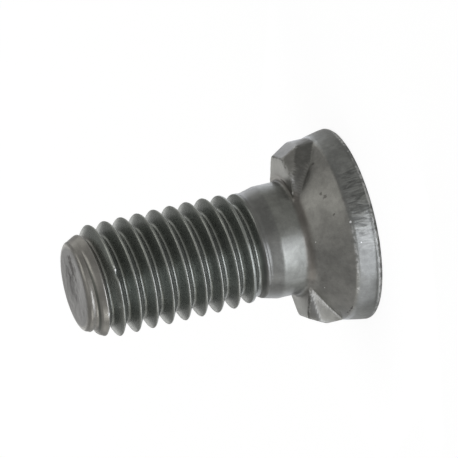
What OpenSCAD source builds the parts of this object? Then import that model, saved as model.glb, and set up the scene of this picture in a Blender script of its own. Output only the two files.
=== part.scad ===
// Plow bolt: one forged and thread-rolled steel piece. It stands on the flat of its head, with its axis on Z.

/* [Overall] */
// Length from the flat of the head to the thread's end
length = 32; // [26:0.25:60]

/* [Head] */
// Diameter of the head at its flat face, measured to the sharp corner under the edge rounding
head_d = 21.7; // [20.7:0.1:24]
// Diameter at the top of the drafted rim, where the countersunk cone starts
rim_d = 20.7; // [18:0.1:21]
// Height of the rim
rim_h = 2.8; // [1.5:0.1:4]
// Included angle of the countersunk cone
cone_angle = 90; // [75:1:100]
// Edge rounding between the flat face and the rim
face_edge_r = 0.35; // [0.2:0.05:1]
// Edge rounding between the rim and the cone
rim_edge_r = 0.3; // [0.1:0.05:0.6]

/* [Neck] */
// Diameter of the smooth neck
neck_d = 12.7; // [11.5:0.05:13.5]
// Length of the straight neck, from the point of the cone's corner with it
neck_len = 2.9; // [1.5:0.1:10]
// Fillet between the cone and the neck
neck_fillet_r = 0.8; // [0.2:0.05:1.5]
// Length of the taper from the neck to the thread
taper_len = 1.7; // [0.8:0.05:3]
// Fall of the radius along the taper
taper_drop = 0.4; // [0.1:0.05:0.6]

/* [Lugs] */
// Height of the lugs' end faces above the cone's corner
lug_rise = 0.2; // [0:0.05:0.6]
// Distance from the axis to the root corners of a lug's end face
lug_root_reach = 5.1; // [4.6:0.1:5.5]
// Width across the root corners
lug_root_w = 7.4; // [6:0.1:8]
// Distance from the axis to the middle corners of the end face
lug_mid_reach = 7.7; // [7:0.1:8.2]
// Width across the middle corners
lug_mid_w = 5.3; // [4.6:0.1:6]
// Distance from the axis to the tip of the end face
lug_tip_reach = 9.15; // [8:0.05:9.6]
// Width of the end face at its tip
lug_tip_w = 2.5; // [1:0.1:4]
// Height of the upright outer wall above the rim
lug_wall_h = 1.7; // [0.8:0.1:2.6]
// Width at the top of the outer wall
lug_crown_w = 3.4; // [2:0.1:5]
// Width at the rim
lug_foot_w = 5.6; // [4:0.1:7]

/* [Thread] */
// Diameter over the thread crests
thread_d = 12.6; // [11:0.05:13]
// Threads to the inch
threads_per_inch = 13; // [10:1:20]
// Depth of the thread, crest to root
thread_depth = 1.2; // [0.6:0.05:1.4]
// Width of the crest
crest_w = 0.36; // [0.15:0.01:0.6]
// Fall of the rounded crest at its two edges
crest_round = 0.09; // [0.02:0.01:0.2]
// Width of the root
root_w = 0.34; // [0.15:0.01:0.6]
// Length over which the crests fall off towards the neck
crest_runout = 3; // [1:0.1:6]
// Length over which the last groove rises towards the neck
groove_runout = 0.8; // [0.4:0.1:2]
// Angle at which a crest reaches the end face, from +X
start_angle = 140; // [0:1:359]

/* [Point] */
// Diameter of the end face
end_d = 9.9; // [8.5:0.1:11]
// Length of the point's chamfer
point_len = 2.4; // [1:0.1:3.5]
// Diameter of the shallow dish that rolling leaves in the end face
dish_d = 8.2; // [4:0.1:9.5]
// Depth of the dish
dish_depth = 0.25; // [0.05:0.05:0.6]

/* [Hidden] */
$fn = 96;
inch = 25.4;
steel = [0.33, 0.34, 0.33];

head_r = head_d / 2;
rim_r = rim_d / 2;
neck_r = neck_d / 2;
cone_half = cone_angle / 2;
cone_top = rim_h + (rim_r - neck_r) / tan(cone_half);
neck_top = cone_top + neck_len;
shoulder_z = neck_top + taper_len;
shoulder_r = neck_r - taper_drop;

lug_end = cone_top + lug_rise;
lug_wall_top = rim_h + lug_wall_h;
// The lugs stand just inside the rim, and their sides go on below the cone's surface
lug_inset = 0.05;
lug_bury = 0.5;
lug_r = rim_r - lug_inset;
lug_low = rim_h - lug_bury;

// The thread starts a little inside the taper's end, under a small step
thread_seat = 0.3;
shoulder_step = 0.2;
thread_low = shoulder_z - thread_seat;
pitch = inch / threads_per_inch;
crest_r = thread_d / 2;
root_r = crest_r - thread_depth;
end_r = end_d / 2;
runout_r = shoulder_r - shoulder_step;
dish_r = dish_d / 2;
dish_sphere_r = (dish_r * dish_r + dish_depth * dish_depth) / (2 * dish_depth);

// One pitch of the thread: distance along the axis from a crest, and radius
thread_steps = 40;
thread_rows = [
    [0, crest_r],
    [crest_w / 2, crest_r - crest_round],
    [pitch / 2 - root_w / 2, root_r],
    [pitch / 2 + root_w / 2, root_r],
    [pitch - crest_w / 2, crest_r - crest_round]
];
rows_per_turn = len(thread_rows);
crest_z = length - pitch * start_angle / 360;
first_turn = floor((thread_low - crest_z) / pitch) - 2;
last_turn = ceil((length - crest_z) / pitch) + 1;
row_count = rows_per_turn * (last_turn - first_turn);

function unit(v) = v / norm(v);

// Radius of the chamfered point, of the crests near the neck and of the ramp in the last groove, at height z
function point_limit(z) = end_r + (length - z) * (crest_r - end_r) / point_len;
function runout_limit(z) = runout_r + (z - shoulder_z) * (crest_r - runout_r) / crest_runout;
function runout_ramp(z) = runout_r - (z - shoulder_z) * (runout_r - root_r) / groove_runout;

function thread_r(z, r) =
    z >= length ? end_r :
    z <= shoulder_z ? runout_r :
    max(runout_ramp(z), min(r, point_limit(z), runout_limit(z)));

// Point of the thread at one step round the axis and one row, held between the thread's two ends
function thread_point(step, row) =
    let (
        turn = first_turn + floor(row / rows_per_turn),
        shape = thread_rows[row % rows_per_turn],
        z_free = crest_z + pitch * (turn + step / thread_steps) + shape[0],
        z = min(length, max(thread_low, z_free)),
        r = thread_r(z, shape[1]),
        angle = 360 * step / thread_steps
    ) [r * cos(angle), r * sin(angle), z];

function thread_index(step, row) =
    step < thread_steps ?
        step * row_count + row :
        min(row_count - 1, row + rows_per_turn);

// Wedge between two tangent lines and the arc that rounds the corner where they meet
module corner_wedge(corner, to_a, to_b, r) {
    a = unit(to_a - corner);
    b = unit(to_b - corner);
    half = acos(a * b) / 2;
    centre = corner + unit(a + b) * r / sin(half);
    difference() {
        polygon([corner, corner + a * r / tan(half), centre, corner + b * r / tan(half)]);
        translate(centre)
            circle(r = r);
    }
}

// Half section of the head, neck and taper
module blank_section() {
    face_edge = [head_r, 0];
    rim_edge = [rim_r, rim_h];
    neck_corner = [neck_r, cone_top];
    difference() {
        union() {
            polygon([
                [0, 0],
                face_edge,
                rim_edge,
                neck_corner,
                [neck_r, neck_top],
                [shoulder_r, shoulder_z],
                [0, shoulder_z]
            ]);
            corner_wedge(neck_corner, rim_edge, [neck_r, neck_top], neck_fillet_r);
        }
        corner_wedge(face_edge, [0, 0], rim_edge, face_edge_r);
        corner_wedge(rim_edge, face_edge, neck_corner, rim_edge_r);
    }
}

// One lug along +X: its end face narrows to a tip, and flat facets on each side run down to the cone and rim
module lug() {
    side = [
        [lug_root_reach, lug_root_w / 2, lug_end],
        [lug_mid_reach, lug_mid_w / 2, lug_end],
        [lug_tip_reach, lug_tip_w / 2, lug_end],
        [rim_r, lug_crown_w / 2, lug_wall_top],
        [rim_r, lug_foot_w / 2, lug_low],
        [lug_root_reach, lug_root_w / 2, lug_low]
    ];
    corners = concat(side, [for (p = side) [p[0], -p[1], p[2]]]);
    intersection() {
        hull()
            polyhedron(points = corners, faces = [[for (i = [0 : len(corners) - 1]) i]]);
        cylinder(r = lug_r, h = lug_end);
    }
}

// Right-hand thread, from inside the taper's end to the flat end of the point
module thread() {
    points = [
        for (step = [0 : thread_steps - 1])
            for (row = [0 : row_count - 1])
                thread_point(step, row)
    ];
    walls = [
        for (step = [0 : thread_steps - 1])
            for (row = [0 : row_count - 2])
                let (
                    a = thread_index(step, row),
                    b = thread_index(step + 1, row),
                    c = thread_index(step + 1, row + 1),
                    d = thread_index(step, row + 1)
                )
                each [[a, c, b], [a, d, c]]
    ];
    low_cap = [for (step = [0 : thread_steps - 1]) thread_index(step, 0)];
    end_cap = [for (step = [thread_steps - 1 : -1 : 0]) thread_index(step, row_count - 1)];
    polyhedron(points = points, faces = concat(walls, [low_cap, end_cap]));
}

module plow_bolt() {
    color(steel)
        difference() {
            union() {
                rotate_extrude()
                    blank_section();
                for (turn = [0, 180])
                    rotate([0, 0, turn])
                        lug();
                thread();
            }
            translate([0, 0, length - dish_depth + dish_sphere_r])
                sphere(r = dish_sphere_r);
        }
}

plow_bolt();
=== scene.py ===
"""Plow bolt: one forged, thread-rolled and phosphated steel piece, standing on the flat of its head."""
import math

import bpy
import numpy as np
from mathutils import Matrix, Vector, noise


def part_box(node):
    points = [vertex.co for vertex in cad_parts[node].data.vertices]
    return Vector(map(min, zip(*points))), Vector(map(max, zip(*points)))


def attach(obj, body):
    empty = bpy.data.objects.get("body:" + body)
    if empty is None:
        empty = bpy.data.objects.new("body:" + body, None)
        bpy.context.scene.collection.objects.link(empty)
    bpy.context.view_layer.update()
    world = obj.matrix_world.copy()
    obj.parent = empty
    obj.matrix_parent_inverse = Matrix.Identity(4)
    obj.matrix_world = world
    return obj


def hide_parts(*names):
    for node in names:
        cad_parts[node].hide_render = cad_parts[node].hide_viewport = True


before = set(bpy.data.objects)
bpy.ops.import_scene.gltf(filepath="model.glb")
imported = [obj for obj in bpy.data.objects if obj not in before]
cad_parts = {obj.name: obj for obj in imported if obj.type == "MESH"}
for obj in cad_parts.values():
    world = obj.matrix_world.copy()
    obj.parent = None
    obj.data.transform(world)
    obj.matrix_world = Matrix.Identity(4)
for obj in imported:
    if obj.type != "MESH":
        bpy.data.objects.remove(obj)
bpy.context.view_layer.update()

NODE = "plow_bolt"
BODY = "root"

# Sizes of the bolt in millimetres, fitted to the photograph and close to those in the part's source
MM = 0.001
# The edge of the dished end face stands this much above the solid
END_RISE = 0.13
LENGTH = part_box(NODE)[1][2] / MM + END_RISE
HEAD_R = 10.86
RIM_R = 10.35
RIM_H = 2.8
RIM_CURVE = 1.25
FACE_EDGE_R = 0.35
# Fine line that trimming leaves on the rim
RIM_LINE_Z = 0.54
RIM_LINE_DEPTH = 0.03
RIM_LINE_W = 0.1
RIM_EDGE_ROUND = 0.2
NECK_R = 6.35
CONE_TOP = 6.75
CONE_FALL = (RIM_R - NECK_R) / (CONE_TOP - RIM_H)
NECK_TOP = 9.74
# Height where the rows of the neck end and those of the taper start
NECK_END = NECK_TOP - 0.3
NECK_FILLET = 0.45
# Wider fillet between the neck and the lug at -X, blended in by the cosine of the angle from it
MINUS_FILLET = 1.0
MINUS_FILLET_BLEND = (0.3, 0.7)
TAPER_SLOPE = 0.25
TAPER_ROUND = 0.05
SHOULDER_Z = 11.2
SHOULDER_R = 5.96

# Corners of the lugs in their own axes: along the lug, across it, up the bolt
LUG_END = 7.02
# The end face at +X lies this much lower and the one at -X this much higher
LUG_SKEW = 0.06
# Low ring round the neck on the end face at +X
LUG_RING_R = 6.95
LUG_RING_H = 0.05
LUG_RING_W = 0.13
LUG_INSET = 0.05
LUG_R = RIM_R - LUG_INSET
LUG_ROOT = (5.2, 3.7, LUG_END)
LUG_MID = (7.7, 2.65, LUG_END)
LUG_TIP = (9.06, 1.05, LUG_END)
LUG_CROWN = (RIM_R, 1.7, RIM_H + 1.7)
LUG_FOOT = (RIM_R, 2.8, RIM_H - 0.5)
# Near side of the lug at +X: edge of the end face, ridge between its facets, and foot on the cone
PLUS_EDGE = ((9.13, 2.51, 6.96), (7.55, 4.32, 6.96))
PLUS_RIDGE = ((9.3, 3.0, 5.47), (7.9, 4.25, 6.25))
PLUS_FOOT = ((8.57, 3.45, 3.9), (7.54, 3.84, 4.67), (6.73, 4.07, 5.25))
# Near side of the lug at -X: its facets meet in one point by the neck, to which the end face dips
MINUS_APEX = (5.45, 3.8, 6.7)
MINUS_EDGE = (8.34, 2.61, 7.08)
MINUS_RIDGE = (9.08, 2.7, 5.87)
MINUS_FOOT = (7.36, 2.95, 5.19)
MINUS_DIP = (6.3, 0.6, 7.08)
LUG_EDGE_ROUND = 0.14
LUG_FOOT_FILLET = 0.12

# Thread and point
PITCH = 1.91
CREST_R = 6.35
ROOT_R = 5.02
CREST_W = 0.15
ROOT_W = 0.3
CREST_ROUND = 0.18
ROOT_ROUND = 0.14
# Height of one crest above the flat face, at +X
CREST_Z = 31.02
FLANK_SLOPE = (CREST_R - ROOT_R) / (PITCH / 2 - CREST_W / 2 - ROOT_W / 2)
# The crests fall off from RUNOUT_HIGH to RUNOUT_LOW, and the last groove fills up from GROOVE_HIGH to
# GROOVE_LOW
RUNOUT_LOW = 11.5
RUNOUT_HIGH = 14.8
GROOVE_LOW = 11.75
GROOVE_HIGH = 12.25
RUNOUT_ROUND = 0.08
# Fall of the shoulder's edge into the last groove, to each millimetre of height
RUNOUT_FALL = 2.0
END_R = 4.8
POINT_LEN = 2.95
POINT_ROUND = 0.1
END_ROUND_H = 0.5
END_ROUND_W = 0.8
# Start of the first groove on the point: distance above a crest, width, depth and the heights it lies between
POINT_GROOVE_AT = 0.6
POINT_GROOVE_W = 0.13
POINT_GROOVE_DEPTH = 0.22
POINT_GROOVE_LOW = 30.55
POINT_GROOVE_HIGH = 31.55
POINT_GROOVE_BLEND = 0.2
# Shallow dish that rolling leaves in the end face, a little off the axis
DISH_X = 0.8
DISH_Y = -0.6
DISH_INNER = 0.9
DISH_OUTER = 3.2
DISH_DEPTH = 0.18
# Fractal noise of the shape: fall of its octaves, ratio of their scales and their number
FRACTAL = (1.0, 2.0, 3)
END_NOISE = 0.045
END_NOISE_SCALE = 0.8

# Mesh density: columns round the axis lie closer together at the lugs
COLUMNS = 252
LUG_CROWDING = 0.5
FACE_ROWS = 4
FACE_SPREAD = 0.7
FACE_EDGE_ROWS = 5
RIM_HEIGHTS = (0.42, 0.48, 0.54, 0.6, 0.66, 0.85, 1.1, 1.35, 1.6, 1.85, 2.05)
RIM_LAST_Z = 2.2
UNDERSIDE_STEP = 0.1
TAPER_ROWS = 20
# Rows of the thread, by distance from a crest: closer together where the section bends
HALF_TURN_ROWS = (0.06, 0.1, 0.14, 0.19, 0.26, 0.45, 0.6, 0.72, 0.79, 0.86)
TURN_ROWS = (0.0, *HALF_TURN_ROWS, PITCH / 2, *(PITCH - d for d in reversed(HALF_TURN_ROWS)))
ROWS_PER_TURN = len(TURN_ROWS)
END_EDGE_ROWS = 5
END_ROWS = 20

# The photograph's frame and the fitted camera
IMAGE_PX = 458
PX_PER_MM = 9.069
CAMERA_DISTANCE = 550.0
CAMERA_AZIMUTH = math.radians(10)
CAMERA_ELEVATION = math.radians(16)
CAMERA_ROLL = math.radians(103.16)
AXIS_POINT_Z = 16.12
AXIS_POINT_PX = (210.9, 255.2)
SENSOR_MM = 36.0
CLIP_END = 10.0


def smooth_max(a, b, width):
    """Maximum of two fields, blended where they differ by less than width."""
    gap = np.maximum(width - np.abs(a - b), 0.0)
    return np.maximum(a, b) + gap * gap / (4 * width)


def smooth_min(a, b, width):
    return -smooth_max(-a, -b, width)


def smooth_step(low, high, x):
    t = np.clip((x - low) / (high - low), 0.0, 1.0)
    return t * t * (3 - 2 * t)


def ridge(x, middle, width):
    """Smooth ridge of height 1."""
    return np.exp(-(((x - middle) / width) ** 2))


def polar(r, angle, z):
    return r * math.cos(angle), r * math.sin(angle), z


def column_angles():
    even = np.arange(COLUMNS) * math.tau / COLUMNS
    return even - LUG_CROWDING * np.sin(2 * even) / 2


ANGLES = column_angles()


def rim_radius(z):
    """Drafted rim, with the fine line that trimming leaves near the flat face."""
    line = RIM_LINE_DEPTH * ridge(z, RIM_LINE_Z, RIM_LINE_W)
    return RIM_R + (HEAD_R - RIM_R) * (1 - (z / RIM_H) ** RIM_CURVE) - line


def plane_through(a, b, c):
    """Unit normal, away from the lug's middle, and offset of the plane through three corners."""
    a, b, c = np.array(a), np.array(b), np.array(c)
    normal = np.cross(b - a, c - a)
    normal /= np.linalg.norm(normal)
    inside = np.array((NECK_R, 0.0, RIM_H))
    if normal @ (inside - a) > 0:
        normal = -normal
    return normal, normal @ a


def mirrored(corner):
    return (corner[0], -corner[1], corner[2])


FAR_SIDES = (
    plane_through(LUG_ROOT, LUG_MID, LUG_CROWN),
    plane_through(LUG_MID, LUG_TIP, LUG_CROWN),
    plane_through(LUG_ROOT, LUG_CROWN, LUG_FOOT),
)
PLUS_SIDES = (
    plane_through(*PLUS_EDGE, PLUS_RIDGE[0]),
    plane_through(*PLUS_RIDGE, PLUS_FOOT[0]),
    plane_through(PLUS_RIDGE[1], *PLUS_FOOT[1:]),
)
MINUS_SIDES = (
    plane_through(MINUS_EDGE, MINUS_RIDGE, MINUS_APEX),
    plane_through(MINUS_RIDGE, MINUS_FOOT, MINUS_APEX),
    plane_through(MINUS_EDGE, MINUS_APEX, MINUS_DIP),
)
LUG_OUTER = plane_through(LUG_TIP, mirrored(LUG_TIP), LUG_CROWN)


def lug_sides(r, z, angle):
    """Height above each plane of the nearer lug: three sides, the outer face and the end face."""
    along, across = np.abs(r * np.cos(angle)), np.abs(r * np.sin(angle))
    plus, near = np.cos(angle) > 0, np.sin(angle) < 0

    def above(plane):
        normal, offset = plane
        return along * normal[0] + across * normal[1] + z * normal[2] - offset

    sides = [
        np.where(near, np.where(plus, above(plus_side), above(minus_side)), above(far_side))
        for plus_side, minus_side, far_side in zip(PLUS_SIDES, MINUS_SIDES, FAR_SIDES)
    ]
    ring = LUG_RING_H * plus * ridge(r, LUG_RING_R, LUG_RING_W)
    end = LUG_END + ring - LUG_SKEW * np.sign(np.cos(angle))
    return [*sides, above(LUG_OUTER), z - end]


def head_fields(r, z, angle):
    """Fields of the head, lug and neck: below 0 inside, and about the distance to the surface outside."""
    cone = (r - RIM_R + (z - RIM_H) * CONE_FALL) / math.hypot(1.0, CONE_FALL)
    rim = r - rim_radius(np.clip(z, 0.0, RIM_H))
    head = smooth_max(cone, rim, RIM_EDGE_ROUND)
    lug = r - LUG_R
    for side in lug_sides(r, z, angle):
        lug = smooth_max(lug, side, LUG_EDGE_ROUND)
    return head, lug, r - NECK_R


def head_field(r, z, angle):
    head, lug, neck = head_fields(r, z, angle)
    at_minus = smooth_step(*MINUS_FILLET_BLEND, -np.cos(angle))
    fillet = NECK_FILLET + (MINUS_FILLET - NECK_FILLET) * at_minus
    return smooth_min(smooth_min(head, lug, LUG_FOOT_FILLET), neck, fillet)


# Ring inside the head from which rays go out to its surface
RAY_R = 5.0
RAY_Z = 3.0
RAY_REACH = 9.0
RAY_HALVINGS = 40


def underside_rows():
    """Rows from the rim over the cone and lugs to the end of the neck, found along the rays."""
    corners = np.array([
        (rim_radius(RIM_LAST_Z), RIM_LAST_Z),
        (RIM_R, RIM_H),
        (NECK_R, CONE_TOP),
        (NECK_R, NECK_END),
    ])
    legs = np.linalg.norm(np.diff(corners, axis=0), axis=1)
    walked = np.concatenate([[0.0], np.cumsum(legs)])
    places = np.linspace(0.0, walked[-1], int(walked[-1] / UNDERSIDE_STEP))
    guide_r = np.interp(places, walked, corners[:, 0])
    guide_z = np.interp(places, walked, corners[:, 1])
    slant = np.arctan2(guide_z - RAY_Z, guide_r - RAY_R)[:, None]
    angle = ANGLES[None, :]
    near = np.zeros((len(places), COLUMNS))
    far = np.full((len(places), COLUMNS), RAY_REACH)
    for _ in range(RAY_HALVINGS):
        middle = (near + far) / 2
        field = head_field(RAY_R + middle * np.cos(slant), RAY_Z + middle * np.sin(slant), angle)
        near = np.where(field < 0, middle, near)
        far = np.where(field < 0, far, middle)
    reach = (near + far) / 2
    return RAY_R + reach * np.cos(slant), RAY_Z + reach * np.sin(slant)


def ring_rows(radii, heights):
    """Rows that are the same at every angle."""
    ones = np.ones(COLUMNS)
    return np.asarray(radii)[:, None] * ones, np.asarray(heights)[:, None] * ones


def face_rows():
    radii = (HEAD_R - FACE_EDGE_R) * (np.arange(1, FACE_ROWS + 1) / FACE_ROWS) ** FACE_SPREAD
    return ring_rows(radii, np.zeros(FACE_ROWS))


def face_edge_rows():
    turn = np.linspace(0.0, math.pi / 2, FACE_EDGE_ROWS + 1)[1:]
    edge_r = rim_radius(FACE_EDGE_R)
    start_r = HEAD_R - FACE_EDGE_R
    return ring_rows(start_r + (edge_r - start_r) * np.sin(turn), FACE_EDGE_R * (1 - np.cos(turn)))


def rim_rows():
    heights = np.array(RIM_HEIGHTS)
    return ring_rows(rim_radius(heights), heights)


def point_limit(z):
    return END_R + (LENGTH - z) * (CREST_R - END_R) / POINT_LEN


def crest_limit(z):
    """Largest radius that the thread may have: less at the point and at the run-out."""
    runout = SHOULDER_R + (z - RUNOUT_LOW) * (CREST_R - SHOULDER_R) / (RUNOUT_HIGH - RUNOUT_LOW)
    return np.minimum(CREST_R, np.minimum(runout, point_limit(z)))


def point_groove(turns, z):
    """Depth of the start of the first groove on the point."""
    above_crest = (turns - np.floor(turns)) * PITCH
    low_end = smooth_step(POINT_GROOVE_LOW, POINT_GROOVE_LOW + POINT_GROOVE_BLEND, z)
    high_end = smooth_step(POINT_GROOVE_HIGH, POINT_GROOVE_HIGH - POINT_GROOVE_BLEND, z)
    return POINT_GROOVE_DEPTH * low_end * high_end * ridge(above_crest, POINT_GROOVE_AT, POINT_GROOVE_W)


def shank_radius(angle, z):
    """Radius of the taper, run-out, thread and point."""
    turns = (z - CREST_Z) / PITCH - angle / math.tau
    from_crest = np.abs(turns - np.round(turns)) * PITCH
    groove_z = z + (np.floor(turns) + 0.5 - turns) * PITCH
    groove = smooth_step(GROOVE_LOW, GROOVE_HIGH, groove_z)
    root = SHOULDER_R - (SHOULDER_R - ROOT_R) * groove
    flank = CREST_R + (CREST_W / 2 - from_crest) * FLANK_SLOPE
    at_point = smooth_step(LENGTH - POINT_LEN, LENGTH - POINT_LEN / 2, z)
    crest = smooth_min(flank, crest_limit(z), CREST_ROUND + POINT_ROUND * at_point)
    thread = np.minimum(smooth_max(crest, root, ROOT_ROUND), point_limit(z)) - point_groove(turns, z)
    taper = smooth_min(NECK_R, NECK_R - (z - NECK_TOP) * TAPER_SLOPE, TAPER_ROUND)
    fall = SHOULDER_R - (z - RUNOUT_LOW) * RUNOUT_FALL
    return smooth_max(thread, np.minimum(taper, fall), RUNOUT_ROUND)


def taper_rows():
    heights = np.linspace(NECK_END, SHOULDER_Z, TAPER_ROWS + 1)[1:, None] * np.ones(COLUMNS)
    return shank_radius(ANGLES[None, :], heights), heights


THREAD_HIGH = LENGTH - END_ROUND_H
# Rows closer than this to an end of the thread are joined with it
SLIVER = 0.03


def thread_rows():
    """Rows along the helix, held between the shoulder and the rounded end."""
    first_turn = math.floor((SHOULDER_Z - CREST_Z) / PITCH) - 2
    last_turn = math.ceil((THREAD_HIGH - CREST_Z) / PITCH) + 1
    offsets = np.array([PITCH * turn + row for turn in range(first_turn, last_turn) for row in TURN_ROWS])
    free = CREST_Z + offsets[:, None] + PITCH * ANGLES[None, :] / math.tau
    heights = np.where(free < SHOULDER_Z + SLIVER, SHOULDER_Z, free)
    heights = np.where(free > THREAD_HIGH - SLIVER, THREAD_HIGH, heights)
    return shank_radius(ANGLES[None, :], heights), heights


def end_edge_rows(last_r):
    turn = np.linspace(0.0, math.pi / 2, END_EDGE_ROWS + 1)[1:, None]
    heights = THREAD_HIGH + END_ROUND_H * np.sin(turn)
    return last_r - END_ROUND_W * (1 - np.cos(turn)), heights * np.ones(COLUMNS)


def end_height(x, y):
    """Height of the uneven end face with its dish."""
    off = math.hypot(x - DISH_X, y - DISH_Y)
    uneven = noise.fractal(Vector((x, y, 0.0)) * END_NOISE_SCALE, *FRACTAL)
    edge = 1 - float(smooth_step(END_R - 2 * END_ROUND_W, END_R - END_ROUND_W, math.hypot(x, y)))
    dish = 1 - float(smooth_step(DISH_INNER, DISH_OUTER, off + uneven))
    return LENGTH - edge * (DISH_DEPTH * dish + END_NOISE * uneven)


def end_face_rows(last_r):
    share = np.linspace(1.0, 0.0, END_ROWS + 1)[1:-1, None]
    radii = last_r * share
    heights = np.array([
        [end_height(*polar(r, angle, 0.0)[:2]) for r, angle in zip(row, ANGLES)]
        for row in radii
    ])
    return radii, heights


def bolt_rows():
    """All rows from the flat face to the end face, and where the thread's rows start and stop."""
    parts = [face_rows(), face_edge_rows(), rim_rows(), underside_rows(), taper_rows()]
    thread_start = sum(len(radii) for radii, _ in parts)
    parts.append(thread_rows())
    thread_stop = thread_start + len(parts[-1][0])
    parts.append(end_edge_rows(parts[-1][0][-1]))
    parts.append(end_face_rows(parts[-1][0][-1]))
    radii = np.concatenate([part[0] for part in parts])
    heights = np.concatenate([part[1] for part in parts])
    return radii, heights, thread_start, thread_stop


def bolt_faces(index, thread_start, thread_stop):
    """Quads between rows, joined one turn further on where the thread's rows close on themselves."""
    faces = []
    for row in range(len(index) - 1):
        in_thread = thread_start <= row < thread_stop - 1
        for column in range(COLUMNS):
            low, high, after = row, row + 1, column + 1
            if after == COLUMNS:
                after = 0
                if in_thread:
                    low = min(row + ROWS_PER_TURN, thread_stop - 1)
                    high = min(row + 1 + ROWS_PER_TURN, thread_stop - 1)
            quad = (index[row][column], index[low][after], index[high][after], index[row + 1][column])
            corners = list(dict.fromkeys(quad))
            if len(corners) > 2:
                faces.append(corners)
    return faces


# Height and scale of the unevenness of the forged and of the rolled skin
FORGE_NOISE = 0.02
FORGE_SCALE = 0.55
ROLL_NOISE = 0.006
ROLL_SCALE = 1.1
# Height at which the forged skin starts to give way to the rolled one
ROLL_START = NECK_TOP - 2


def skin(x, y, z):
    """Small unevenness of the forged head and neck and of the rolled thread, in millimetres outwards."""
    rolled = float(smooth_step(ROLL_START, SHOULDER_Z, z))
    forge = FORGE_NOISE * noise.fractal(Vector((x, y, z)) * FORGE_SCALE, *FRACTAL)
    roll = ROLL_NOISE * noise.fractal(Vector((x, y, z)) * ROLL_SCALE, *FRACTAL)
    return forge + (roll - forge) * rolled


# Nicks: height, angle in degrees, radius of the middle, size and depth
DENTS = (
    (28.42, -77, 6.3, 0.36, 0.45),
    (24.1, -91, 6.2, 0.2, 0.1),
)


def dent(place):
    """Depth of the nicks at one place."""
    depth = 0.0
    for dent_z, degrees, dent_r, size, deep in DENTS:
        gap = math.dist(place, polar(dent_r, math.radians(degrees), dent_z))
        depth += deep * ridge(gap, 0.0, size)
    return depth


def bolt_points(radii, heights):
    """Points in millimetres, the first and last in the middle of the two ends, and their numbers by row."""
    moved = (np.diff(radii, axis=0) != 0) | (np.diff(heights, axis=0) != 0)
    points = [(0.0, 0.0, 0.0)]
    index = np.zeros(radii.shape, dtype=int)
    for row in range(len(radii)):
        for column in range(COLUMNS):
            if row > 0 and not moved[row - 1, column]:
                index[row, column] = index[row - 1, column]
                continue
            index[row, column] = len(points)
            r, z, angle = radii[row, column], heights[row, column], ANGLES[column]
            if z > 0:
                place = polar(r, angle, z)
                r += skin(*place) - dent(place)
            points.append(polar(r, angle, z))
    points.append((0.0, 0.0, end_height(0.0, 0.0)))
    return points, index


def bolt_mesh():
    radii, heights, thread_start, thread_stop = bolt_rows()
    points, index = bolt_points(radii, heights)
    end_centre = len(points) - 1
    faces = bolt_faces(index.tolist(), thread_start, thread_stop)
    for column in range(COLUMNS):
        after = (column + 1) % COLUMNS
        faces.append([0, int(index[0, after]), int(index[0, column])])
        faces.append([int(index[-1, column]), int(index[-1, after]), end_centre])
    mesh = bpy.data.meshes.new("forged_bolt")
    mesh.from_pydata([tuple(c * MM for c in p) for p in points], [], faces)
    mesh.validate()
    mesh.polygons.foreach_set("use_smooth", [True] * len(mesh.polygons))
    add_edge_attribute(mesh)
    add_painted_facet_light(mesh)
    return mesh


def add_edge_attribute(mesh):
    """Mean curvature of each point and its neighbours in 1/mm: above 0 on ridges, below 0 in grooves."""
    count = len(mesh.vertices)
    places = np.empty(count * 3)
    normals = np.empty(count * 3)
    pairs = np.empty(len(mesh.edges) * 2, dtype=int)
    mesh.vertices.foreach_get("co", places)
    mesh.vertex_normals.foreach_get("vector", normals)
    mesh.edges.foreach_get("vertices", pairs)
    places, normals, pairs = places.reshape(-1, 3) / MM, normals.reshape(-1, 3), pairs.reshape(-1, 2)
    along = places[pairs[:, 1]] - places[pairs[:, 0]]
    square = np.maximum(np.einsum("ij,ij->i", along, along), SLIVER**2)
    sums, hits = np.zeros(count), np.zeros(count)
    for end, sign in ((0, -1.0), (1, 1.0)):
        bend = sign * 2 * np.einsum("ij,ij->i", along, normals[pairs[:, end]]) / square
        np.add.at(sums, pairs[:, end], bend)
        np.add.at(hits, pairs[:, end], 1)
    value = sums / np.maximum(hits, 1)
    spread, hits = value.copy(), np.ones(count)
    for end in (0, 1):
        np.add.at(spread, pairs[:, end], value[pairs[:, 1 - end]])
        np.add.at(hits, pairs[:, end], 1)
    layer = mesh.attributes.new("edge", "FLOAT", "POINT")
    layer.data.foreach_set("value", spread / hits)


# Painted light and shade of the lugs' facets: a factor on the colour that makes each facet lighter or darker
# as the light falls on it, in the order of lug_sides, on the lug at +X and on the one at -X
PAINTED_FACET_LIGHT_PLUS = (1.15, 0.55, 0.65, 0.8, 0.78)
PAINTED_FACET_LIGHT_MINUS = (0.58, 1.85, 0.54, 1.0, 0.54)
# Radii between which the painted light and shade comes in beside the neck, and height above the end faces
# where it stops
PAINTED_FACET_LIGHT_FADE = (6.6, 7.0)
PAINTED_FACET_LIGHT_MARGIN = 0.2


def add_painted_facet_light(mesh):
    """Painted light and shade of each forged facet of the lugs, as a factor on the colour, and 1 elsewhere.
    """
    places = np.empty(len(mesh.vertices) * 3)
    mesh.vertices.foreach_get("co", places)
    x, y, z = places.reshape(-1, 3).T / MM
    r, angle = np.hypot(x, y), np.arctan2(y, x)
    head, lug, neck = head_fields(r, z, angle)
    facet = np.argmax(np.stack(lug_sides(r, z, angle)), axis=0)
    tone = np.where(x > 0, np.array(PAINTED_FACET_LIGHT_PLUS)[facet], np.array(PAINTED_FACET_LIGHT_MINUS)[facet])
    tone = 1 + (tone - 1) * smooth_step(*PAINTED_FACET_LIGHT_FADE, r)
    on_lug = (lug < head) & (lug < neck) & (z < LUG_END + PAINTED_FACET_LIGHT_MARGIN)
    layer = mesh.attributes.new("tone", "FLOAT", "POINT")
    layer.data.foreach_set("value", np.where(on_lug, tone, 1.0))


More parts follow.
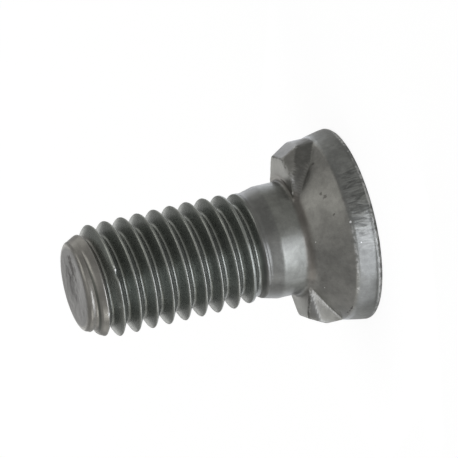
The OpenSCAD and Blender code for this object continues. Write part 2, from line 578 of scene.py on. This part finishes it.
class Nodes:
    """Short way to add shader nodes and link them."""

    def __init__(self, owner):
        self.tree = owner.node_tree
        self.tree.nodes.clear()

    def add(self, kind, inputs=(), **settings):
        made = self.tree.nodes.new(kind)
        for name, value in settings.items():
            setattr(made, name, value)
        for key, value in dict(inputs).items():
            self.put(made, key, value)
        return made

    def put(self, target, key, value):
        if isinstance(value, bpy.types.NodeSocket):
            self.tree.links.new(value, target.inputs[key])
        else:
            target.inputs[key].default_value = value

    def attribute(self, name):
        return self.add("ShaderNodeAttribute", attribute_name=name).outputs["Fac"]

    def noise(self, where, scale, detail, rough, bent=0.0):
        inputs = {"Vector": where, "Scale": scale, "Detail": detail, "Roughness": rough, "Distortion": bent}
        return self.add("ShaderNodeTexNoise", inputs).outputs["Fac"]

    def ramp(self, value, low, high, out_low=0.0, out_high=1.0):
        made = self.add(
            "ShaderNodeMapRange",
            {"Value": value, "From Min": low, "From Max": high, "To Min": out_low, "To Max": out_high},
            interpolation_type="SMOOTHSTEP",
        )
        return made.outputs["Result"]

    def window(self, value, start, rise, fall, stop):
        """0 up to start, 1 from rise to fall, and 0 from stop on."""
        return self.math("MULTIPLY", self.ramp(value, start, rise), self.ramp(value, stop, fall))

    def swing(self, uneven, amount):
        """Noise spread evenly round 1."""
        return self.ramp(uneven, NOISE_LOW, NOISE_HIGH, 1 - amount, 1 + amount)

    def math(self, kind, a, b):
        return self.add("ShaderNodeMath", {0: a, 1: b}, operation=kind).outputs[0]

    def product(self, *factors):
        result = factors[0]
        for factor in factors[1:]:
            result = self.math("MULTIPLY", result, factor)
        return result

    def mix(self, factor, a, b):
        made = self.add("ShaderNodeMix", data_type="RGBA")
        self.put(made, "Factor", factor)
        self.put(made, 6, a)
        self.put(made, 7, b)
        return made.outputs[2]

    def mix_value(self, factor, a, b):
        made = self.add("ShaderNodeMix", data_type="FLOAT")
        self.put(made, 0, factor)
        self.put(made, 2, a)
        self.put(made, 3, b)
        return made.outputs[0]

    def scaled(self, colour, value):
        made = self.add("ShaderNodeVectorMath", {0: colour, "Scale": value}, operation="SCALE")
        return made.outputs[0]


# Noises: scale to the millimetre, detail, roughness and distortion
BLOTCH = (0.45, 4.0, 0.6)
MOTTLE = (1.7, 4.0, 0.6)
GRAIN = (6.0, 4.0, 0.65)
STREAK = (2.1, 2.0, 0.5, 1.2)
# The rim's streaks change this much more slowly up the axis than round it
STREAK_STRETCH = 0.25
# Range in which most of each noise lies
NOISE_LOW = 0.3
NOISE_HIGH = 0.7
# Height over which the forged look gives way to the rolled one
FORGED_BLEND = 1.0


class Steel(Nodes):
    """Nodes of the steel, with the places, noises and attributes that its masks share, in millimetres."""

    def __init__(self, material):
        super().__init__(material)
        place = self.add("ShaderNodeTexCoord").outputs["Object"]
        to_mm = {"Vector": place, "Scale": (1 / MM, 1 / MM, 1 / MM)}
        self.where = self.add("ShaderNodeMapping", to_mm).outputs["Vector"]
        axes = self.add("ShaderNodeSeparateXYZ", {"Vector": self.where}).outputs
        self.z = axes["Z"]
        self.level = self.add("ShaderNodeCombineXYZ", {"X": axes["X"], "Y": axes["Y"]}).outputs[0]
        self.radius = self.add("ShaderNodeVectorMath", {0: self.level}, operation="LENGTH").outputs["Value"]
        self.arc = self.math("MULTIPLY", self.math("ARCTAN2", axes["Y"], axes["X"]), HEAD_R)
        self.edge = self.attribute("edge")
        # Painted light and shade of the lugs' facets
        self.tone = self.attribute("tone")
        self.forged = self.ramp(self.z, SHOULDER_Z, SHOULDER_Z - FORGED_BLEND)
        self.blotch = self.noise(self.where, *BLOTCH)
        self.mottle = self.noise(self.where, *MOTTLE)
        self.grain = self.noise(self.where, *GRAIN)
        along_rim = {"X": self.arc, "Y": self.math("MULTIPLY", self.z, STREAK_STRETCH)}
        self.streak = self.noise(self.add("ShaderNodeCombineXYZ", along_rim).outputs[0], *STREAK)

    def facing(self, degrees):
        """Share of HEAD_R that a place lies out along one direction round the axis."""
        out = polar(1 / HEAD_R, math.radians(degrees), 0.0)
        made = self.add("ShaderNodeVectorMath", {0: self.level, 1: out}, operation="DOT_PRODUCT")
        return made.outputs["Value"]

    def side(self, degrees, *edges):
        return self.ramp(self.facing(degrees), *edges)

    def above_crest(self):
        """Distance up the axis from the thread crest below."""
        rise = self.math("DIVIDE", self.math("SUBTRACT", self.z, CREST_Z), PITCH)
        turns = self.math("SUBTRACT", rise, self.math("DIVIDE", self.arc, HEAD_R * math.tau))
        return self.math("MULTIPLY", self.math("FRACT", turns, 0.0), PITCH)

    def spots(self, places, uneven):
        """1 in the middle of each listed spot and 0 away from them; the noise uneven frays their outlines."""
        mask = 0.0
        for height, degrees, reach, size in places:
            middle = polar(reach, math.radians(degrees), height)
            apart = self.add("ShaderNodeVectorMath", {0: self.where, 1: middle}, operation="DISTANCE")
            fray = self.ramp(uneven, NOISE_LOW, NOISE_HIGH, -size * SPOT_FRAY, size * SPOT_FRAY)
            gap = self.math("ADD", apart.outputs["Value"], fray)
            mask = self.math("MAXIMUM", self.ramp(gap, size, size * SPOT_CORE), mask)
        return mask


STEEL_RIM = (0.185, 0.188, 0.177, 1.0)
STEEL_CONE = (0.2, 0.197, 0.181, 1.0)
STEEL_NECK = (0.174, 0.177, 0.161, 1.0)
STEEL_TAPER = (0.156, 0.157, 0.147, 1.0)
STEEL_THREAD = (0.236, 0.244, 0.222, 1.0)
# Painted shade: darker colour of the thread's flanks
STEEL_FLANK_SHADE = (0.17, 0.18, 0.165, 1.0)
STEEL_POINT = (0.255, 0.246, 0.224, 1.0)
STEEL_END = (0.099, 0.096, 0.093, 1.0)
# Colour of bare worn metal, also used for the painted highlights on the crests and the rim
STEEL_WORN_AND_HIGHLIGHT = (0.5, 0.5, 0.48, 1.0)
# Colour of the painted glints
STEEL_GLINT = (0.85, 0.85, 0.83, 1.0)
# Colour of the painted shade in grooves, inner corners and the first groove on the point
STEEL_PAINTED_SHADE = (0.075, 0.083, 0.072, 1.0)
STEEL_FILLET = (0.085, 0.072, 0.06, 1.0)
# Colour of the pits and the flash line, and of the painted shade in the end face's dish
STEEL_PIT_AND_DISH_SHADE = (0.06, 0.055, 0.05, 1.0)
METALLIC = 0.82
RIM_ROUGHNESS = 0.34
END_ROUGHNESS = 0.42
# Roughness of the painted shade in the end face's dish
DISH_SHADE_ROUGHNESS = 0.56
GRAIN_ROUGHNESS = 0.03
# Half the height over which two zones blend
ZONE_BLEND = 0.15
# Zones up the bolt, above the rim: height of the start, colour and roughness
ZONES = (
    (RIM_H, STEEL_CONE, 0.38),
    (CONE_TOP + 0.3, STEEL_NECK, 0.33),
    (NECK_TOP + 0.1, STEEL_TAPER, 0.33),
    (RUNOUT_LOW + 0.5, STEEL_THREAD, 0.29),
    (LENGTH - 2.4, STEEL_POINT, 0.33),
)

# Windows of the masks, by height, radius or distance above a crest: start, rise, fall and stop
FLANK_SHADE_HEIGHTS = (RUNOUT_LOW + 0.3, RUNOUT_LOW + 0.7, LENGTH - 2.6, LENGTH - 2.0)
FLANK_SHADE_RADII = (ROOT_R + 0.06, ROOT_R + 0.18, CREST_R - 0.25, CREST_R - 0.08)
POINT_FLANK_SHADE = (POINT_GROOVE_AT - 0.18, POINT_GROOVE_AT - 0.1, POINT_GROOVE_AT, POINT_GROOVE_AT + 0.1)
FILLET_HEIGHTS = (CONE_TOP - 0.7, CONE_TOP - 0.1, CONE_TOP + 0.2, CONE_TOP + 0.8)
RIM_HIGHLIGHT_HEIGHTS = (RIM_H - 0.25, RIM_H - 0.1, RIM_H, RIM_H + 0.12)
# Ramps of the other masks: value at the start and at the end, and the results there where they aren't 0 and 1
SCRAPED_HEIGHTS = (RIM_H - 0.1, RIM_H - 0.4)
END_HEIGHTS = (LENGTH - 1.0, LENGTH - 0.7)
END_RADII = (4.85, 4.2)
FILLET_RADII = (7.6, 6.8)
GROOVE_SHADE_EDGES = (-0.8, -4.0)
WORN_HEAD_EDGES = (0.5, 1.3)
WORN_HEAD_MOTTLE = (0.42, 0.6, 0.1, 1.0)
WORN_HEAD_RADII = (9.9, 10.2, 0.4, 0.9)
WORN_AND_HIGHLIT_CREST_EDGES = (2.0, 6.0)
WORN_AND_HIGHLIT_CREST_GRAIN = (0.35, 0.6, 0.1, 0.5)
RIM_HIGHLIGHT_RADII = (10.0, 10.2)
RIM_HIGHLIGHT_MOTTLE = (0.45, 0.6, 0.0, 0.6)
# Ramps of what lies on one side only: its direction round the axis in degrees, and a ramp of the share of
# HEAD_R that a place lies out along that direction
SCRAPED_SIDE = (-72, 0.85, 0.94, 0.12, 1.0)
POINT_FLANK_SHADE_SIDE = (-110, 0.15, 0.42, 0.0, 0.75)
FILLET_SIDE = (180, 0.35, 0.5, 1.0, 0.25)
# The crests' painted highlight lies on this side
HIGHLIT_CREST_SIDE = (-115, 0.2, 0.45, 0.1, 1.0)
RIM_HIGHLIGHT_SIDE = (-107, 0.84, 0.9)
# Strength of the masks
FILLET_MIX = 0.55
FORGED_GROOVE_SHADE = 0.35
PIT_MIX = 0.65
PAINTED_GLINT_MIX = 0.8
# Swing of the shade about 1
BLOTCH_SWING = 0.14
MOTTLE_SWING = 0.08
FORGED_GRAIN_SWING = 0.06
ROLLED_GRAIN_SWING = 0.05
STREAK_DARK = 0.65
STREAK_LIGHT = 1.4
# Relief in millimetres
MOTTLE_RELIEF = 0.012
STREAK_RELIEF = 0.035
FORGED_GRAIN_RELIEF = 0.003
ROLLED_GRAIN_RELIEF = 0.0008

# Shares of a spot's size at which it is full and by which its outline is frayed
SPOT_CORE = 0.4
SPOT_FRAY = 0.6
# Single marks: height, angle in degrees, radius of the middle and size
PITS = (
    (3.89, -27.6, 9.13, 0.3),
    (4.3, -57.5, 8.8, 0.3),
    (4.5, -54.0, 8.6, 0.2),
    (3.98, -71.8, 9.13, 0.22),
    (1.6, -5.3, 10.56, 0.25),
)
# The flash line between the rim and the lug at -X
FLASH_START = (2.98, -143.2, 10.17, 0.12)
FLASH_END = (3.33, -160.5, 9.98, 0.12)
FLASH_SPOTS = 17
FLASH = np.linspace(FLASH_START, FLASH_END, FLASH_SPOTS).tolist()
# Painted shade in the dish of the end face, where its steep wall lies in shade
DISH_SHADE_SPOTS = (
    (LENGTH - 0.1, -6.3, 2.72, 1.0),
    (LENGTH - 0.1, -8.1, 2.12, 1.05),
    (LENGTH - 0.1, -11.3, 1.53, 0.9),
)
# Painted glints: white specks of colour on the head, on the point and along the nick in the second crest
PAINTED_GLINTS = (
    (2.75, -79.6, 10.3, 0.15),
    (6.16, -89.9, 7.0, 0.1),
    (2.08, -92.8, 10.55, 0.09),
    (5.5, -136.0, 7.6, 0.08),
    (29.9, -119.4, 5.85, 0.42),
    (28.76, -69.0, 6.3, 0.14),
    (28.68, -72.0, 6.3, 0.17),
    (28.56, -75.0, 6.25, 0.17),
    (28.42, -78.0, 6.2, 0.14),
)


def zone_values(steel):
    """Base colour and roughness from the rim over the cone, neck and thread to the end face, with painted
    shade on the thread's flanks and in the first groove on the point.
    """
    colour, rough = STEEL_RIM, RIM_ROUGHNESS
    for start, zone_colour, zone_rough in ZONES:
        share = steel.ramp(steel.z, start - ZONE_BLEND, start + ZONE_BLEND)
        colour = steel.mix(share, colour, zone_colour)
        rough = steel.mix_value(share, rough, zone_rough)
    # Painted shade on the thread's flanks, between their crests and roots
    flank = steel.product(steel.window(steel.z, *FLANK_SHADE_HEIGHTS), steel.window(steel.radius, *FLANK_SHADE_RADII))
    colour = steel.mix(flank, colour, STEEL_FLANK_SHADE)
    # Painted shade in the first groove on the point
    colour = steel.mix(point_flank_shade(steel), colour, STEEL_PAINTED_SHADE)
    on_end = steel.product(steel.ramp(steel.z, *END_HEIGHTS), steel.ramp(steel.radius, *END_RADII))
    return steel.mix(on_end, colour, STEEL_END), steel.mix_value(on_end, rough, END_ROUGHNESS)


def point_flank_shade(steel):
    """Painted shade on one side of the first groove on the point, as dark as the shaded flanks of the thread.
    """
    return steel.product(
        steel.ramp(steel.z, POINT_GROOVE_LOW, POINT_GROOVE_LOW + POINT_GROOVE_BLEND),
        steel.window(steel.above_crest(), *POINT_FLANK_SHADE),
        steel.side(*POINT_FLANK_SHADE_SIDE),
    )


def scraped_rim(steel):
    """The part of the rim that a tool has scraped."""
    return steel.product(steel.ramp(steel.z, *SCRAPED_HEIGHTS), steel.side(*SCRAPED_SIDE))


def uneven_shade(steel, scraped):
    """Factor on the base colour: blotches, mottling, grain, the rim's streaks, and the painted light and
    shade of the lugs' facets.
    """
    streaks = steel.ramp(steel.streak, NOISE_LOW, NOISE_HIGH, STREAK_DARK, STREAK_LIGHT)
    rolled_grain = steel.swing(steel.grain, ROLLED_GRAIN_SWING)
    forged_grain = steel.swing(steel.grain, FORGED_GRAIN_SWING)
    return steel.product(
        steel.swing(steel.blotch, BLOTCH_SWING),
        steel.mix_value(steel.forged, 1.0, steel.swing(steel.mottle, MOTTLE_SWING)),
        steel.mix_value(steel.forged, rolled_grain, forged_grain),
        steel.mix_value(scraped, 1.0, streaks),
        # Painted light and shade of the lugs' facets
        steel.tone,
    )


def dark_fillet(steel):
    """The fillet between the cone and the neck darker and browner, less so at the lug at -X."""
    return steel.product(
        steel.ramp(steel.radius, *FILLET_RADII),
        steel.window(steel.z, *FILLET_HEIGHTS),
        steel.side(*FILLET_SIDE),
        FILLET_MIX,
    )


def groove_shade(steel):
    """Painted shade in grooves and inner corners: darker colour where the surface is hollow, weaker on the
    forged head and neck.
    """
    return steel.product(steel.ramp(steel.edge, *GROOVE_SHADE_EDGES), steel.mix_value(steel.forged, 1.0, FORGED_GROOVE_SHADE))


def worn_head(steel):
    return steel.product(
        steel.forged,
        steel.ramp(steel.edge, *WORN_HEAD_EDGES),
        steel.ramp(steel.mottle, *WORN_HEAD_MOTTLE),
        steel.ramp(steel.radius, *WORN_HEAD_RADII),
    )


# Wear on the thread's crests that is also a painted highlight: they are paler only on the side where they
# catch the light
def worn_and_highlit_crests(steel):
    return steel.product(
        steel.ramp(steel.edge, *WORN_AND_HIGHLIT_CREST_EDGES),
        steel.ramp(steel.grain, *WORN_AND_HIGHLIT_CREST_GRAIN),
        steel.side(*HIGHLIT_CREST_SIDE),
    )


# Painted highlight along the edge between the rim and the cone, on the side where it catches the light, made
# uneven by the mottle
def painted_rim_highlight(steel):
    return steel.product(
        steel.window(steel.z, *RIM_HIGHLIGHT_HEIGHTS),
        steel.ramp(steel.radius, *RIM_HIGHLIGHT_RADII),
        steel.side(*RIM_HIGHLIGHT_SIDE),
        steel.ramp(steel.mottle, *RIM_HIGHLIGHT_MOTTLE),
    )


def worn_and_highlit_edges(steel):
    """Bare metal worn on the edges of the head and lugs, wear with a painted highlight on the thread's
    crests, and a painted highlight along the rim.
    """
    head_or_crest = steel.math("MAXIMUM", worn_head(steel), worn_and_highlit_crests(steel))
    return steel.math("MAXIMUM", head_or_crest, painted_rim_highlight(steel))


def marked(steel, colour, rough):
    """Colour and roughness with the single marks laid over them: painted shade in the end face's dish, pits,
    the flash line and painted glints.
    """
    # Painted shade in the dish of the end face, darker and less glossy
    dish_shade = steel.spots(DISH_SHADE_SPOTS, steel.mottle)
    colour = steel.mix(dish_shade, colour, STEEL_PIT_AND_DISH_SHADE)
    rough = steel.mix_value(dish_shade, rough, DISH_SHADE_ROUGHNESS)
    colour = steel.mix(steel.product(steel.spots(PITS, steel.mottle), PIT_MIX), colour, STEEL_PIT_AND_DISH_SHADE)
    colour = steel.mix(steel.spots(FLASH, steel.mottle), colour, STEEL_PIT_AND_DISH_SHADE)
    # Painted glints
    painted_glints = steel.product(steel.spots(PAINTED_GLINTS, steel.grain), PAINTED_GLINT_MIX)
    return steel.mix(painted_glints, colour, STEEL_GLINT), rough


def relief_height(steel, scraped):
    """Height of the fine relief in millimetres."""
    forged = steel.product(steel.forged, steel.mottle, MOTTLE_RELIEF)
    streaks = steel.product(scraped, steel.streak, STREAK_RELIEF)
    fine = steel.product(steel.grain, steel.mix_value(steel.forged, ROLLED_GRAIN_RELIEF, FORGED_GRAIN_RELIEF))
    return steel.math("ADD", steel.math("ADD", forged, streaks), fine)


def steel_material():
    """Dark phosphated steel, worn on its edges, with painted light, shade, highlights and glints in its
    colour.
    """
    material = bpy.data.materials.new("phosphated_steel")
    material.use_nodes = True
    steel = Steel(material)
    scraped = scraped_rim(steel)
    colour, rough = zone_values(steel)
    colour = steel.scaled(colour, uneven_shade(steel, scraped))
    colour = steel.mix(dark_fillet(steel), colour, STEEL_FILLET)
    # Painted shade in the grooves and inner corners
    colour = steel.mix(groove_shade(steel), colour, STEEL_PAINTED_SHADE)
    # Wear on the edges, and painted highlights on the crests and the rim
    colour = steel.mix(worn_and_highlit_edges(steel), colour, STEEL_WORN_AND_HIGHLIGHT)
    colour, rough = marked(steel, colour, rough)
    uneven_gloss = steel.ramp(steel.grain, NOISE_LOW, NOISE_HIGH, -GRAIN_ROUGHNESS, GRAIN_ROUGHNESS)
    rough = steel.math("ADD", rough, uneven_gloss)
    relief = {"Strength": 1.0, "Distance": MM, "Height": relief_height(steel, scraped)}
    bump = steel.add("ShaderNodeBump", relief)
    shader = steel.add(
        "ShaderNodeBsdfPrincipled",
        {"Base Color": colour, "Metallic": METALLIC, "Roughness": rough, "Normal": bump.outputs["Normal"]},
    )
    out = steel.add("ShaderNodeOutputMaterial")
    steel.put(out, "Surface", shader.outputs[0])
    return material


def make_bolt():
    bolt = bpy.data.objects.new("forged_bolt", bolt_mesh())
    bpy.context.scene.collection.objects.link(bolt)
    bolt.data.materials.append(steel_material())
    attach(bolt, BODY)
    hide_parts(NODE)


def camera_axes():
    """Image right, image up and the way back to the camera, as unit vectors of the bolt's frame."""
    ca, sa = math.cos(CAMERA_AZIMUTH), math.sin(CAMERA_AZIMUTH)
    ce, se = math.cos(CAMERA_ELEVATION), math.sin(CAMERA_ELEVATION)
    back = Vector((sa * ce, -ca * ce, se))
    level = Vector((ca, sa, 0.0))
    rise = back.cross(level)
    cr, sr = math.cos(CAMERA_ROLL), math.sin(CAMERA_ROLL)
    return level * cr - rise * sr, level * sr + rise * cr, back


RIGHT, UP, BACK = camera_axes()
AXIS_POINT = Vector((0.0, 0.0, AXIS_POINT_Z))


def make_camera():
    data = bpy.data.cameras.new("camera")
    data.sensor_width = SENSOR_MM
    data.lens = PX_PER_MM * CAMERA_DISTANCE / IMAGE_PX * SENSOR_MM
    data.clip_end = CLIP_END
    camera = bpy.data.objects.new("camera", data)
    aim = AXIS_POINT + RIGHT * (IMAGE_PX / 2 - AXIS_POINT_PX[0]) / PX_PER_MM
    aim += UP * (AXIS_POINT_PX[1] - IMAGE_PX / 2) / PX_PER_MM
    place = (aim + BACK * CAMERA_DISTANCE) * MM
    turn = Matrix((RIGHT, UP, BACK)).transposed().to_4x4()
    camera.matrix_world = Matrix.Translation(place) @ turn
    bpy.context.scene.collection.objects.link(camera)
    bpy.context.scene.camera = camera


LAMP_DISTANCE = 300.0
WARM_WHITE = (1.0, 1.0, 0.98)
COOL_WHITE = (0.87, 0.9, 1.0)
# Lamps that face the bolt: angle round it from the camera's side and angle above the floor in degrees, width
# and height in millimetres, how bright the face is, and distance in millimetres
SOFT_BOXES = {
    "upper": (90, 66, 165, 165, 1.35, LAMP_DISTANCE),
    "low_front": (-45, 10, 200, 165, 0.36, LAMP_DISTANCE),
    "low_side": (-83, 20, 130, 150, 1.6, LAMP_DISTANCE),
    "front": (0, 10, 715, 715, 0.42, 1300.0),
    "high_front": (0, 66, 165, 165, 0.4, LAMP_DISTANCE),
    "back": (180, 17, 165, 165, 1.05, LAMP_DISTANCE),
    "back_low": (-125, 10, 120, 165, 0.45, LAMP_DISTANCE),
    "back_up": (120, 10, 165, 165, 0.65, LAMP_DISTANCE),
}
# Glowing cards that stand on the floor beside the bolt and lean towards it, which the neck and rim mirror:
# angle round the bolt, distance from its axis, width, height and how bright
LEANING_CARDS = {
    "card": (-28, 33, 30, 24, 2.6),
    "card_low": (-71, 31, 26, 24, 1.15),
    "card_back_low": (-132, 33, 24, 24, 0.6),
    "card_back_up": (132, 33, 24, 24, 0.9),
}
# Cards that lie flat on the floor, which the rounding under the rim and the crests of the thread mirror
FLAT_CARDS = {
    "edge_back_low": (-140, 19, 16, 12, 0.8),
    "edge_back_up": (140, 19, 16, 12, 1.2),
    "thread_card": (-40, 82, 80, 80, 2.1),
    "edge_card": (-25, 15, 16, 5, 2.2),
}
LEANING_CARD_HEIGHT = 4.0
LEANING_CARD_ANGLE = 60
FLAT_CARD_HEIGHT = 0.3


def around(turn, height):
    """Unit vector at an angle round the bolt from the camera's side and one above the floor, in degrees."""
    turn = CAMERA_AZIMUTH + math.radians(turn - 90)
    height = math.radians(height)
    return Vector(polar(math.cos(height), turn, math.sin(height)))


def area_lamp(name, place, back, width, tall, level, colour):
    """Area lamp that shines away from back, unseen by the camera; level is how bright its face is."""
    data = bpy.data.lights.new(name, "AREA")
    data.shape = "RECTANGLE"
    data.size = width * MM
    data.size_y = tall * MM
    data.energy = level * math.pi * data.size * data.size_y
    data.color = colour
    lamp = bpy.data.objects.new(name, data)
    lamp.location = place * MM
    lamp.rotation_euler = back.to_track_quat("Z", "Y").to_euler()
    lamp.visible_camera = False
    bpy.context.scene.collection.objects.link(lamp)


def on_floor(turn, reach, height):
    return around(turn, 0) * reach + Vector((0.0, 0.0, height))


def make_lights():
    for name, (turn, height, width, tall, level, distance) in SOFT_BOXES.items():
        back = around(turn, height)
        area_lamp(name, AXIS_POINT + back * distance, back, width, tall, level, WARM_WHITE)
    for name, (turn, reach, width, tall, level) in LEANING_CARDS.items():
        back = around(turn, -LEANING_CARD_ANGLE)
        area_lamp(name, on_floor(turn, reach, LEANING_CARD_HEIGHT), back, width, tall, level, COOL_WHITE)
    for name, (turn, reach, width, tall, level) in FLAT_CARDS.items():
        back = -around(turn, 90)
        area_lamp(name, on_floor(turn, reach, FLAT_CARD_HEIGHT), back, width, tall, level, COOL_WHITE)


WHITE = (1.0, 1.0, 1.0, 1.0)
WORLD_LEVEL = 0.43
BACKGROUND_LEVEL = 1.0
FLOOR_SIZE = 6.0
FLOOR_COLOUR = (0.9, 0.9, 0.9, 1.0)
# Share and level of the glow that the camera sees on the floor, so that it is white with a pale shadow
FLOOR_GLOW = 0.8
FLOOR_GLOW_LEVEL = 1.1


def seen_by_camera(nodes, others, camera):
    """Shader that differs for the camera's own rays."""
    path = nodes.add("ShaderNodeLightPath")
    mixed = nodes.add("ShaderNodeMixShader", {0: path.outputs["Is Camera Ray"], 1: others, 2: camera})
    return mixed.outputs[0]


def make_world():
    world = bpy.data.worlds.new("studio")
    world.use_nodes = True
    nodes = Nodes(world)
    plain = nodes.add("ShaderNodeBackground", {"Color": WHITE, "Strength": WORLD_LEVEL}).outputs[0]
    white = nodes.add("ShaderNodeBackground", {"Color": WHITE, "Strength": BACKGROUND_LEVEL}).outputs[0]
    out = nodes.add("ShaderNodeOutputWorld")
    nodes.put(out, "Surface", seen_by_camera(nodes, plain, white))
    bpy.context.scene.world = world


def floor_material():
    """White to the camera, with a pale shadow; plain matt white to everything else."""
    material = bpy.data.materials.new("pale_floor")
    material.use_nodes = True
    nodes = Nodes(material)
    matt = nodes.add("ShaderNodeBsdfDiffuse", {"Color": FLOOR_COLOUR}).outputs[0]
    glow = nodes.add("ShaderNodeEmission", {"Color": WHITE, "Strength": FLOOR_GLOW_LEVEL}).outputs[0]
    pale = nodes.add("ShaderNodeMixShader", {0: FLOOR_GLOW, 1: matt, 2: glow}).outputs[0]
    out = nodes.add("ShaderNodeOutputMaterial")
    nodes.put(out, "Surface", seen_by_camera(nodes, matt, pale))
    return material


def make_floor():
    half = FLOOR_SIZE / 2
    corners = [(-half, -half, 0), (half, -half, 0), (half, half, 0), (-half, half, 0)]
    mesh = bpy.data.meshes.new("floor")
    mesh.from_pydata(corners, [], [(0, 1, 2, 3)])
    floor = bpy.data.objects.new("floor", mesh)
    floor.data.materials.append(floor_material())
    bpy.context.scene.collection.objects.link(floor)


bpy.context.scene.view_settings.view_transform = "Standard"
make_camera()
make_world()
make_floor()
make_lights()
make_bolt()
